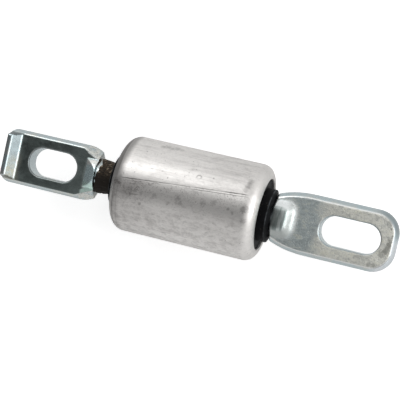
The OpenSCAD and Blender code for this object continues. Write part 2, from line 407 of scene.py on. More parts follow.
TAB_MARKS = (
    # the same for the scuffs near the plain tab's tip
    ((87.8, 6.5, 4.4), 0.45, 0.25, 0.3, 0.85),
    ((89.0, 3.6, 4.4), 0.35, 0.2, 0.3, 0.8),
    ((88.8, 2.7, 4.4), 0.3, 0.2, 0.3, 0.6),
    ((88.4, 1.6, 4.4), 0.9, 0.6, 0.4, 0.45),
    ((88.3, -0.1, 4.4), 1.1, 0.6, 0.4, 0.75),
    ((88.0, -1.7, 4.4), 1.2, 0.7, 0.4, 0.65),
    ((87.2, -3.4, 4.4), 1.4, 0.8, 0.4, 0.65),
    ((86.0, -4.9, 4.4), 1.2, 0.8, 0.4, 0.50),
    ((87.0, 9.4, 4.4), 1.0, 0.7, 0.4, 0.40),
    ((83.8, -10.4, 4.4), 1.1, 0.7, 0.4, 0.45),
    ((81.6, -10.3, 4.4), 0.9, 0.5, 0.4, 0.4),
)


def round_mark(place, mark, hollow=NO_HOLLOW):
    """One row of the marks above as a mask."""
    centre, radius, soft, ragged, dark = mark
    return spot(place, centre, radius, soft, ragged, hollow) * dark


# The seam's angle round the tube in degrees at the middle, and its change in each millimetre
SEAM_ANGLE = 13.6
SEAM_DRIFT = 0.235
# How far round from the seam the second line lies, in degrees
SECOND_SEAM = 2.6
# Creases on the roll by the hooked tab: from, to and darkness
ROLL_CREASES = ((-28.6, -28.2, 0.60), (-30.6, -30.1, 0.97))


def sleeve_seam(x, along, below, place):
    """Mask of the broken seam line, with a second line beside it towards the plain tab."""
    broken = streaky(place, 0.22, 0.5)
    seam = (abs(below).ease(0.3, 0.85, 1.0, 0.0)
            * (along * broken.ease(0.34, 0.60, 0.50, 1.0)))
    second = (abs(below - SECOND_SEAM).ease(0.2, 0.7, 0.6, 0.0)
              * (along * x.ease(-4.0, 8.0)))
    faint = band(x, -10.0, 9.0, 5.0)
    return most(seam * (1.0 - faint * 0.5), second)


def sleeve_rim_shade(x, y):
    """Mask of the painted shade on the roll by the hooked tab, with its creases."""
    rim_shade = most(x.ease(-32.4, -31.4, 1.0, 0.0), x.ease(-28.9, -26.0, 0.70, 0.0),
               x.ease(-29.9, -28.8, 0.93, 0.0))
    return most(rim_shade * y.ease(-4.0, 4.0, 0.40, 1.0),
                *(band(x, low, high, 0.3) * amount for low, high, amount in ROLL_CREASES))


def sleeve_material(settings):
    """Bare drawn steel: draw streaks, a seam line, stains, mottling and small pits."""
    material, shader, place = new_material("bare_drawn_steel")
    x, y, z = split(place)
    along = band(x, -28.5, 28.0, 1.0)
    # The seam line runs along the tube, a little out of line with its axis. How far a place lies
    # below it is in degrees.
    below = x * SEAM_DRIFT + SEAM_ANGLE - y.maths("ARCTAN2", z) * (180.0 / math.pi)
    seam = sleeve_seam(x, along, below, place)
    under = below.ease(-1.0, 1.0)
    halo = under * below.ease(10.0, 36.0, 1.0, 0.0)
    low = below.ease(20.0, 40.0)
    calm = 1.0 - low * 0.5
    # Draw streaks run along the tube and fade on the rolled ends.
    wide = streaky(place, 0.03, 0.45, 4.0, 0.62)
    fine = streaky(place, 0.11, 1.7, 3.0, 0.6)
    streaks = wide * 0.55 + fine * 0.45
    streak_mask = streaks.ease(0.45, 0.64) * along * calm
    # Stains and mottling are stronger below the seam.
    blots = streaky(place, 0.15, 0.24, 6.0, 0.66).ease(0.49, 0.66) * (halo * 0.40 + 0.24)
    cloud = streaky(place, 0.30, 0.42, 5.0, 0.70)
    clumps = streaky(place, 0.42, 0.72, 4.0, 0.64)
    speckle = streaky(place, 0.9, 1.5, 5.0, 0.72)
    pits = specks(place, 0.85, 0.69, 0.03)
    grit = specks(place, 1.5, 0.61, 0.05) * (halo * along)
    ring = round_mark(place, RING_MARK, RING_HOLLOW) * y.ease(9.2, 10.6, 0.35, 1.0)
    marks = most(*(round_mark(place, mark) for mark in SLEEVE_MARKS), ring)
    # The hooked tab's end gets painted shade round its rim; the other end is rubbed bright.
    rim_shade = sleeve_rim_shade(x, y)
    bright = x.ease(28.0, 29.5)

    # The left side below the seam is darker: partly stains, partly painted shade for a dark
    # reflection.
    worn = under * x.ease(-4.0, -26.0)
    # Painted shade dims the highlight above the seam towards the plain tab.
    darkened = x.ease(2.0, 16.0) * below.ease(2.0, -4.0)
    # Painted light lifts the band below the seam from the middle towards the plain tab.
    painted_lift = halo * x.ease(-22.0, -6.0)
    # Painted shade darkens a strip just under the seam's step.
    seam_shade = under * below.ease(2.0, 14.0, 1.0, 0.0)
    # Stains and mottling, together with the painted shade and painted light above.
    dirt_and_shade = (blots * 0.50 + streak_mask * 0.18 + cloud.ease(0.42, 0.64) * (low * 0.18 + 0.07)
            + worn * 0.18 + darkened * 0.11 - painted_lift * 0.40 + seam_shade * 0.11 + low * 0.05
            + clumps.ease(0.53, 0.61) * (halo * 0.34 + 0.07)
            + speckle.ease(0.42, 0.66) * (halo * 0.10 + 0.08))
    dirt_and_shade = dirt_and_shade * (1.0 - bright * 0.55) + bright * y.ease(-11.0, -3.0, 0.0, 0.16)
    dirt_and_shade = dirt_and_shade.maths("MAXIMUM", 0.0).maths("MINIMUM", 1.0)
    # Dark marks, together with the painted shade on the roll by the hooked tab.
    marks_and_rim_shade = most(*(mask * amount for mask, amount in (
        (marks, 0.60), (pits, 0.50), (grit, 0.32), (seam, 0.92), (rim_shade, 0.90))))

    height = ((wide * 0.03 + fine * 0.010) * along * calm + speckle * 0.024 + clumps * 0.05
              - pits * 0.03 - seam * 0.04 - marks * 0.02)
    feed(shader, {
        "Base Color": mix(marks_and_rim_shade, mix(dirt_and_shade, settings.steel, settings.stain_and_shade),
                          scaled(settings.stain_and_shade, 0.4)),
        "Metallic": rim_shade.ease(0.5, 0.95, 1.0, 0.15),
        "Specular IOR Level": rim_shade.ease(0.5, 0.95, 0.5, 0.1),
        "Roughness": streaks * 0.14 + 0.31 + dirt_and_shade * 0.14 + bright * 0.07,
        "Normal": bump(height, 0.9)})
    return material


NECK_BROWN = (0.042, 0.035, 0.028)
STREAK_BROWN = (0.085, 0.062, 0.042)
COLLAR_HIGHLIGHT_GREY = (0.06, 0.065, 0.07)


def rubber_material(settings):
    """Moulded black rubber, with pale brown specks on top of the neck."""
    material, shader, place = new_material("moulded_black_rubber")
    x, y, z = split(place)
    neck = x.ease(-38.0, -36.0, 1.0, 0.0)
    top = neck * y.ease(-1.5, 3.5)
    pale = most(top * specks(place, 0.75, 0.60, 0.04) * 0.75,
                specks(place, 1.4, 0.70, 0.03) * 0.25)
    grain, slow = surface_grain(place, 3.0, 0.4)
    brown = top * streaky(place, 0.5, 1.6, 3.0, 0.6).ease(0.40, 0.60)
    # The collars get a painted grey highlight along their front edges.
    collar_edge_highlight = band(abs(x), 35.6, 36.1, 0.12) * length_of(y, z).ease(11.2, 11.5)
    feed(shader, {
        "Base Color": layered(
            settings.black, (slow.ease(0.35, 0.65), scaled(settings.black, 1.9)),
            (neck * 0.5, NECK_BROWN), (brown * 0.8, STREAK_BROWN),
            (collar_edge_highlight * slow.ease(0.40, 0.60, 0.2, 0.9), COLLAR_HIGHLIGHT_GREY), (pale, settings.dust)),
        "Roughness": slow * 0.25 + 0.42,
        "Specular IOR Level": 0.08,
        "Normal": bump(grain * 0.05 + pale * 0.15, 0.8)})
    return material


# Both slots: their radius, and for each the middle and the reach from it to each end's centre
SLOT_RADIUS = 6.5
SLOTS = ((-66.4, 5.15), (71.3, 6.7))
# Colours of small areas of the plated pin
PALE_TIP = (0.82, 0.84, 0.87)
SLOT_WALL = (0.70, 0.78, 0.80)
EDGE_HIGHLIGHT = (0.95, 0.95, 0.93)
TIP_EDGE_SHADE = (0.36, 0.37, 0.37)
LIT_FACE = (0.90, 0.90, 0.84)
BOSS_FOOT_HIGHLIGHT = (0.97, 0.99, 0.98)
SCUFF = (0.22, 0.22, 0.19)
RAMP_LOW = (0.66, 0.86, 0.79)
RAMP_MIDDLE = (0.74, 0.90, 0.93)
RAMP_HIGHLIGHT = (0.98, 0.98, 0.94)
RAMP_CLOUD = (0.45, 0.56, 0.58)
BOSS_DARK = (0.30, 0.35, 0.34)
BOSS_LIGHT = (0.58, 0.63, 0.62)
COLLAR_SHADOW_ON_BOSS = (0.05, 0.06, 0.06)
BOSS_FLANK_DIM = (0.48, 0.51, 0.50)
BOSS_FLANK_HIGHLIGHT = (0.86, 0.89, 0.89)
SHOULDER_GREY = (0.70, 0.70, 0.655)
BORDER_LOW = (0.60, 0.76, 0.70)
BORDER_HIGHLIGHT = (0.96, 0.97, 0.96)
# The line on the hooked tab's face where each facet of its shoulder begins: the sine and cosine of
# its turn, and its distance from the middle of the sleeve
SHOULDER_SINE, SHOULDER_COSINE, SHOULDER_AWAY = 0.4067, 0.9135, 11.63


def plate_colour(settings, place, x, y, walls):
    """The tinted zinc of the walls and edges of both tabs."""
    tint = noise(place, 0.16, 3.0, 0.55, 0.6)
    inside = abs(y).ease(7.0, 7.6, 1.0, 0.0) * abs(x - 2.5).ease(82.0, 83.0, 1.0, 0.0)
    return layered(
        settings.blue, (tint.ease(0.42, 0.60), settings.zinc),
        (tint.ease(0.56, 0.72) * 0.6, settings.yellow),
        (walls * 0.55, scaled(settings.blue, 0.80)),
        # The plain tab's tip is darker on one side and paler on the other.
        (x.ease(78.0, 86.0) * y.ease(1.0, 7.0, 0.0, 0.80), scaled(settings.blue, 0.5)),
        (x.ease(80.0, 86.0) * y.ease(4.0, 0.0, 0.0, 0.6), PALE_TIP),
        # The walls inside the slots are paler than the outer walls.
        (inside * walls, SLOT_WALL))


def hooked_face_colour(settings, place, x, y, slow, cloud):
    """The dark greenish face of the hooked tab."""
    drift = streaky(place, 0.09, 0.14)
    # It is lighter by the ramp, by the hook and along its lower side.
    foot = (slow * 3.0 + x).ease(-79.0, -82.0)
    lit = (x.ease(-64.0, -53.0) * 0.32 + y.ease(-4.0, -11.0) * 0.22
           + foot * y.ease(7.0, 2.0, 0.05, 0.55))
    return layered(
        scaled(settings.green, 0.68), (cloud.ease(0.36, 0.62), scaled(settings.green, 1.20)),
        (drift.ease(0.42, 0.58, 0.0, 0.45), scaled(settings.green, 0.45)),
        (lit, scaled(settings.green, 2.3)),
        (foot * y.ease(3.0, -2.0, 0.0, 0.6), scaled(settings.yellow, 0.9)))


def hook_colour(settings, y, slow, cloud):
    """The sloping inner face of the hook, bluish above and yellowish below."""
    return layered(
        scaled(settings.blue, 0.28),
        ((slow * 8.0 + y).ease(6.0, -2.0), scaled(settings.yellow, 0.29)),
        (cloud.ease(0.40, 0.62) * 0.7, scaled(settings.blue, 0.37)))


def plain_face_colour(settings, place, x, y, slow, cloud, scuffs):
    """The grainy face of the plain tab, warmer past the near end of its slot."""
    border = cloud * 5.0 + (slow * 8.0 + x)
    patch = streaky(place, 0.34, 0.55, 3.0, 0.6, 0.8)
    # A painted highlight lies round the foot of the boss.
    past = length_of(most(x - 41.6, 0.0), most(abs(y) - 3.2, 0.0))
    boss_foot_highlight = (past.ease(4.6, 7.6, 0.95, 0.0) * y.ease(-7.0, -1.0, 0.35, 1.0)
            * x.ease(41.0, 45.0, 0.3, 1.0))
    return layered(
        settings.cool_face, (border.ease(60.8, 66.6), settings.warm_face),
        (x.ease(76.0, 84.0) * 0.6, LIT_FACE),
        (cloud.ease(0.46, 0.64) * 0.20, scaled(settings.cool_face, 0.5)),
        (patch.ease(0.47, 0.66, 0.0, 0.26), scaled(settings.green, 0.45)),
        (patch.ease(0.48, 0.34, 0.0, 0.30), scaled(settings.yellow, 1.25)),
        (boss_foot_highlight, BOSS_FOOT_HIGHLIGHT), (scuffs, SCUFF))


def ramp_colour(y, cloud):
    """The hooked tab's ramp in painted light: greenish on its low side, white on its upper side.
    """
    return layered(RAMP_LOW, (y.ease(-5.0, -2.5), RAMP_MIDDLE), (y.ease(3.0, 5.0), RAMP_HIGHLIGHT),
                   (cloud.ease(0.48, 0.62, 0.0, 0.35), RAMP_CLOUD))


def boss_colour(x, y, height, ridges):
    """The boss: dark ridged top, painted collar shadow, and painted highlights on the flanks."""
    darkened = layered(BOSS_DARK, (ridges.ease(0.40, 0.60), BOSS_LIGHT),
                   (x.ease(37.5, 41.5, 0.72, 0.0), COLLAR_SHADOW_ON_BOSS))
    flank = mix(y.ease(2.0, 6.0) * x.ease(42.5, 45.0, 1.0, 0.15), BOSS_FLANK_DIM,
                BOSS_FLANK_HIGHLIGHT)
    return mix(height.ease(6.7, 7.7), flank, darkened)


def zinc_material(settings):
    """Bright zinc on a forging: glossy and tinted, and rougher on the faces of the plain tab."""
    material, shader, place = new_material("bright_zinc_plate")
    x, y, z = split(place)
    side, high = abs(y), abs(z)
    grain, slow = surface_grain(place, 2.1, 0.13)
    cloud = streaky(place, 0.30, 0.42, 5.0, 0.68)
    ridges = streaky(place, 0.95, 0.10, 3.0, 0.6)
    pits = noise(place, 1.45, 4.0, 0.7).ease(0.47, 0.64)
    scuffs = most(*(round_mark(place, mark) for mark in TAB_MARKS))
    rims = most(*(slot_rim(place, middle, reach, SLOT_RADIUS, 0.4) for middle, reach in SLOTS))

    # Where each area lies
    flat = band(high, 4.29, 4.60, 0.06)
    plain_face = flat * x.ease(37.0, 39.0)
    hooked_face = flat * x.ease(-46.0, -50.0)
    hook_face = x.ease(-83.2, -84.2) * band(z, 4.7, 7.6, 0.3)
    # Painted shade darkens the outer edge of the hook's crest.
    hook_crest_shade = x.ease(-88.6, -89.1) * z.ease(6.2, 6.8)
    walls = high.ease(3.2, 4.1, 1.0, 0.0)
    # Painted highlight along the face edges, turned to painted shade at the plain tab's tip.
    edge = band(z, 4.02, 4.34, 0.07) * (1.0 - rims) * x.ease(-10.0, 10.0, 0.45, 0.75)
    ramp = band(x, -50.9, -44.6, 0.2) * high.ease(4.6, 4.9)
    boss = x.ease(37.0, 38.0) * high.ease(4.50, 4.75)
    shoulder = band(x, -51.5, -44.6, 0.5) * high.ease(4.4, 4.2)
    # A painted highlight runs as a light border on the hooked tab's face along the facets of its
    # shoulder, white on its upper side. It is wider on the low side.
    inwards = x * SHOULDER_SINE + (side * SHOULDER_COSINE + SHOULDER_AWAY)
    border = ((inwards + y.ease(-1.0, 1.0, 2.3, 1.0)).ease(0.0, 0.3) * x.ease(-51.8, -50.2)
              * x.ease(-40.0, -42.0) * high.ease(4.30, 4.36) * (1.0 - ramp))

    zinc = layered(
        plate_colour(settings, place, x, y, walls),
        (edge, mix(x.ease(82.0, 87.0), EDGE_HIGHLIGHT, TIP_EDGE_SHADE)),
        (hook_crest_shade, scaled(settings.zinc, 0.22)),
        (hooked_face, hooked_face_colour(settings, place, x, y, slow, cloud)),
        (hook_face, hook_colour(settings, y, slow, cloud)),
        (plain_face, plain_face_colour(settings, place, x, y, slow, cloud, scuffs)),
        (ramp, ramp_colour(y, cloud)), (boss, boss_colour(x, y, high, ridges)),
        (shoulder * cloud.ease(0.35, 0.60), SHOULDER_GREY),
        (border * cloud.ease(0.62, 0.40, 0.6, 1.0),
         mix(y.ease(-1.0, 1.0), BORDER_LOW, BORDER_HIGHLIGHT)),
        # The broken edges of the slots are darker, most of all in the hooked tab.
        (rims * high.ease(3.5, 3.9) * x.ease(-10.0, 10.0, 0.75, 0.35),
         scaled(settings.zinc, 0.25)),
        (pits * (shoulder * 0.45 + (plain_face * 0.26 + 0.16)), scaled(settings.zinc, 0.4)))
    depth = plain_face * 0.040 + 0.008
    height = grain * depth - pits * depth - scuffs * 0.03 + boss * ridges * 0.12
    feed(shader, {
        "Base Color": zinc,
        "Metallic": 1.0,
        "Roughness": (slow * 0.10 + 0.15 + cloud * 0.06 + x.ease(36.0, 38.0) * 0.05
                      + boss * 0.08 + plain_face * 0.24 + border * 0.45),
        "Normal": bump(height, 0.9)})
    return material


# Shapes

def turning_tree():
    """Geometry Nodes that turn a closed outline round the X axis.

    The outline's vertices hold the distance from the turning circle and the place along the
    axis, and their attribute fillet holds each corner's radius.
    """
    name = "Turned Outline"
    if name in bpy.data.node_groups:
        return bpy.data.node_groups[name]
    tree = bpy.data.node_groups.new(name, "GeometryNodeTree")
    for label, kind in (("Geometry", "NodeSocketGeometry"),
                        ("Turning Radius", "NodeSocketFloat"), ("Steps Around", "NodeSocketInt"),
                        ("Steps in a Corner", "NodeSocketInt"),
                        ("Material", "NodeSocketMaterial")):
        tree.interface.new_socket(label, in_out="INPUT", socket_type=kind)
    tree.interface.new_socket("Geometry", in_out="OUTPUT", socket_type="NodeSocketGeometry")
    start = {socket.name: Wire(tree, socket)
             for socket in tree.nodes.new("NodeGroupInput").outputs}
    corner = wire(tree, "GeometryNodeInputNamedAttribute", {"Name": "fillet"}, data_type="FLOAT")
    circle = wire(tree, "GeometryNodeCurvePrimitiveCircle",
                  {"Resolution": start["Steps Around"], "Radius": start["Turning Radius"]})
    shape = start["Geometry"]
    for kind, key, values, settings in (
            ("MeshToCurve", "Mesh", {}, {}),
            ("SetSplineCyclic", "Geometry", {"Cyclic": True}, {}),
            ("FilletCurve", "Curve", {"Count": start["Steps in a Corner"], "Radius": corner,
                                      "Limit Radius": False}, {"mode": "POLY"}),
            ("CurveToMesh", "Profile Curve", {"Curve": circle}, {}),
            ("Transform", "Geometry", {"Rotation": (0.0, -math.pi / 2.0, 0.0)}, {}),
            ("SetShadeSmooth", "Geometry", {"Shade Smooth": True}, {}),
            ("RealizeInstances", "Geometry", {}, {}),
            ("SetMaterial", "Geometry", {"Material": start["Material"]}, {})):
        shape = wire(tree, "GeometryNode" + kind, {key: shape, **values}, **settings)
    plug(tree.nodes.new("NodeGroupOutput").inputs[0], shape)
    return tree


def place_object(name, data):
    """Puts an object with this data in the scene, at the origin."""
    piece = bpy.data.objects.new(name, data)
    bpy.context.scene.collection.objects.link(piece)
    return piece


def plain_mesh(piece):
    """Turns an object with modifiers into a plain mesh and drops the modifiers."""
    bpy.context.view_layer.update()
    graph = bpy.context.evaluated_depsgraph_get()
    mesh = bpy.data.meshes.new_from_object(piece.evaluated_get(graph))
    piece.modifiers.clear()
    old = piece.data
    piece.data = mesh
    bpy.data.meshes.remove(old)
    return mesh


def rows(items, key, width=3, kind=float):
    """One value of each of a mesh's items, such as the places of its vertices, as rows."""
    flat = np.empty(len(items) * width, dtype=kind)
    items.foreach_get(key, flat)
    return flat.reshape(-1, width)


def set_points(mesh, points):
    """Moves the vertices of a mesh to these rows."""
    mesh.vertices.foreach_set("co", points.ravel())
    mesh.update()


def from_axis(points):
    """Each point's distance from the X axis, never quite nothing."""
    return np.maximum(np.hypot(points[:, 1], points[:, 2]), 1e-6)


def draw_in(points, depth):
    """Moves the points towards the X axis by their depths."""
    points[:, 1:] *= (1.0 - depth / from_axis(points))[:, None]


def signed_volume(mesh):
    """Volume of a closed mesh, negative where its faces point inwards."""
    mesh.calc_loop_triangles()
    corners = rows(mesh.loop_triangles, "vertices", kind=np.int64)
    a, b, c = np.moveaxis(rows(mesh.vertices, "co")[corners], 1, 0)
    return float(np.einsum("ij,ij->i", a, np.cross(b, c)).sum() / 6.0)


def mirrored(outline):
    """The same stretch of an outline at the other end, in the order that goes on round it."""
    return [(-x, radius, corner) for x, radius, corner in reversed(outline)]


def turn_outline(name, outline, material, around, corner_steps):
    """Makes one turned piece from rows of (x, radius, corner radius)."""
    turning = 0.01
    mesh = bpy.data.meshes.new(name)
    count = len(outline)
    mesh.from_pydata([(radius - turning, x, 0.0) for x, radius, _ in outline],
                     [(i, (i + 1) % count) for i in range(count)], [])
    fillet = mesh.attributes.new("fillet", "FLOAT", "POINT")
    fillet.data.foreach_set("value", [corner for _, _, corner in outline])
    piece = place_object(name, mesh)
    modifier = piece.modifiers.new("turning", "NODES")
    modifier.node_group = turning_tree()
    values = {"Turning Radius": turning, "Steps Around": around,
              "Steps in a Corner": corner_steps, "Material": material}
    for item in modifier.node_group.interface.items_tree:
        if item.in_out == "INPUT" and item.name in values:
            modifier[item.identifier] = values[item.name]
    mesh = plain_mesh(piece)
    if signed_volume(mesh) < 0.0:
        mesh.flip_normals()
    return piece


def check_box(piece, box, slack=0.00012):
    """Raises an error where a piece leaves the box of the node that it stands for."""
    points = rows(piece.data.vertices, "co")
    low, high = points.min(axis=0), points.max(axis=0)
    for axis in range(3):
        if low[axis] < box[0][axis] - slack or high[axis] > box[1][axis] + slack:
            raise RuntimeError("%s leaves its node's box on axis %d: %s %s" %
                               (piece.name, axis, low.round(5), high.round(5)))


def between(low, high, step):
    """Evenly spaced values strictly between two limits."""
    count = max(2, round(abs(high - low) / step))
    return [low + (high - low) * i / count for i in range(1, count)]


def soft_noise(points, wave, seed):
    """A smooth sum of sines over space, about from -1 to 1, the same at every run."""
    rng = np.random.default_rng(seed)
    sines = 14
    total = np.zeros(len(points))
    for _ in range(sines):
        way = rng.normal(size=3)
        way *= (2.0 * math.pi / wave) * rng.uniform(0.6, 1.5) / np.linalg.norm(way)
        total += np.sin(points @ way + rng.uniform(0.0, 2.0 * math.pi))
    return total / sines ** 0.5 / 2.0


def ramp_up(values, start, width):
    """Rises from 0 to 1 over a width from its start. A negative width runs the other way."""
    return np.clip((values - start) / width, 0.0, 1.0)


# Steps between the points along the outer wall and along the skin, and the length at each end of
# the skin that is left plain
WALL_STEP, SKIN_STEP, SKIN_END = 0.0012, 0.0006, 0.0008
# The way to the side where the skin is torn back
TORN_SIDE = np.array([0.0, 0.62, 0.78])
# An edge of the pin's solid that turns more than this is rounded, by marks set along it
EDGE_TURN, EDGE_STEP = math.radians(18.0), 0.0003
# The softened boss: where it begins and ends along the bar, half of its width, and the height over
# the axis where the softening begins
BOSS_FROM, BOSS_TO, BOSS_SIDE, BOSS_FOOT = 0.0376, 0.0495, 0.0097, 0.0042
# Where the edges get crisp: a height on the hook, and a place along the plain tab
CREST_FROM, TIP_FROM = 0.0069, 0.082


class BUSHING_OT_make_sleeve(bpy.types.Operator):
    """Turn the drawn sleeve, with its rolled ends and small dents"""
    bl_idname = "bushing.make_sleeve"
    bl_label = "Make the sleeve"

    def execute(self, context):
        s = context.scene.bushing.sleeve
        half, radius = s.length / 2.0, s.outside_diameter / 2.0
        wall, roll, chamfer = s.wall, s.roll_radius, s.lip_chamfer
        mouth = radius - roll - s.lip_width
        inner, straight = half - wall, half - roll
        end = [(half, radius, roll), (half, mouth + chamfer, 0.0), (half - chamfer, mouth, 0.0),
               (inner + chamfer, mouth, 0.0), (inner, mouth + chamfer, 0.0),
               (inner, radius - wall, roll - wall)]
        outline = [(x, radius, 0.0) for x in between(-straight, straight, WALL_STEP)]
        outline += end + mirrored(end)
        piece = turn_outline("drawn_sleeve", outline, sleeve_material(s), around=224,
                             corner_steps=20)
        self.dent(piece.data, radius, s.dent)
        piece.data.set_sharp_from_angle(angle=math.radians(35.0))
        check_box(piece, SLEEVE_BOX)
        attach(piece, "sleeve")
        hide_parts("outer_sleeve")
        return {"FINISHED"}

    def dent(self, mesh, radius, depth):
        """Sinks the outer wall by a few hundredths of a millimetre, as a drawn tube is."""
        points = rows(mesh.vertices, "co")
        skin = 0.0015
        outer = ramp_up(from_axis(points), radius - skin, skin)
        wave = 0.5 + 0.5 * soft_noise(points * np.array([0.35, 1.0, 1.0]), 0.012, 11)
        draw_in(points, depth * np.clip(wave, 0.0, 1.0) * outer)
        set_points(mesh, points)


class BUSHING_OT_make_rubber(bpy.types.Operator):
    """Turn the moulded rubber, with its collars and the skin on the neck"""
    bl_idname = "bushing.make_rubber"
    bl_label = "Make the rubber"

    def execute(self, context):
        s = context.scene.bushing.rubber
        sleeve = context.scene.bushing.sleeve
        half, gap, corner = sleeve.length / 2.0, s.gap, s.corner
        outer = sleeve.outside_diameter / 2.0
        bore = outer - sleeve.wall - gap
        mouth = outer - sleeve.roll_radius - sleeve.lip_width - gap
        wall_x, face_x = half - sleeve.wall - gap, half - s.recess
        collar, collar_x = s.collar_diameter / 2.0, half + s.collar_height
        cone_x = collar_x + s.cone_height
        bar, neck = s.bar_diameter / 2.0, s.neck_diameter / 2.0
        roll = sleeve.roll_radius - sleeve.wall - gap
        skin_x = RUBBER_BOX[0][0]
        neck_x = s.neck_inside - half
        # The skin tapers from the width of the bar at the tab to its own thickness.
        skin = neck + s.skin
        slope = (bar - skin) / (skin_x + cone_x)
        outline = [(skin_x, neck + gap, 0.0), (skin_x, bar, corner)]
        outline += [(x, skin + slope * (x + cone_x), 0.0)
                    for x in between(skin_x + SKIN_END, -cone_x - SKIN_END, SKIN_STEP)]
        end = [(-collar_x, collar, corner), (-face_x, collar, corner), (-face_x, mouth, 0.0),
               (-wall_x, mouth, 0.0), (-wall_x, bore, roll)]
        outline += [(-cone_x, skin, corner), *end, *mirrored(end), (cone_x, bar + gap, 0.0),
                    (neck_x - gap, bar + gap, 0.0), (neck_x - gap, neck + gap, 0.0)]
        piece = turn_outline("moulded_rubber", outline, rubber_material(s), around=192,
                             corner_steps=4)
        self.roughen(piece.data, -cone_x, neck, s.uneven)
        self.tear(piece.data, skin_x, neck, s)
        piece.data.set_sharp_from_angle(angle=math.radians(50.0))
        check_box(piece, RUBBER_BOX)
        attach(piece, "sleeve")
        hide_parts("rubber")
        return {"FINISHED"}

    def roughen(self, mesh, cone_x, neck, depth):
        """Leaves the uneven surface of a moulded skin on the neck."""
        points = rows(mesh.vertices, "co")
        on_skin = (points[:, 0] < cone_x - SKIN_END) & (from_axis(points) > neck + 0.0003)
        bumps = soft_noise(points, 0.0022, 5) + 0.6 * soft_noise(points, 0.0011, 6)
        draw_in(points, depth * np.clip(0.5 + bumps, 0.0, 1.5) * on_skin)
        set_points(mesh, points)

    def tear(self, mesh, skin_x, neck, s):
        """Leaves the ragged end of the skin by the hooked tab."""
        points = rows(mesh.vertices, "co")
        reach = from_axis(points)
        ring = points * (neck / reach)[:, None]
        ring[:, 0] = 0.0
        ragged = 0.5 + soft_noise(ring, 0.0045, 7) + 0.7 * soft_noise(ring, 0.0018, 8)
        torn = ramp_up(ring @ TORN_SIDE / neck, 0.80, 0.16)
        back = s.ragged * np.clip(ragged, 0.0, 1.4) + s.torn * torn
        over = 0.006
        fade = ramp_up(points[:, 0], skin_x + over, -over) ** 2
        points[:, 0] += back * fade * (reach < neck + 0.003)
        set_points(mesh, points)


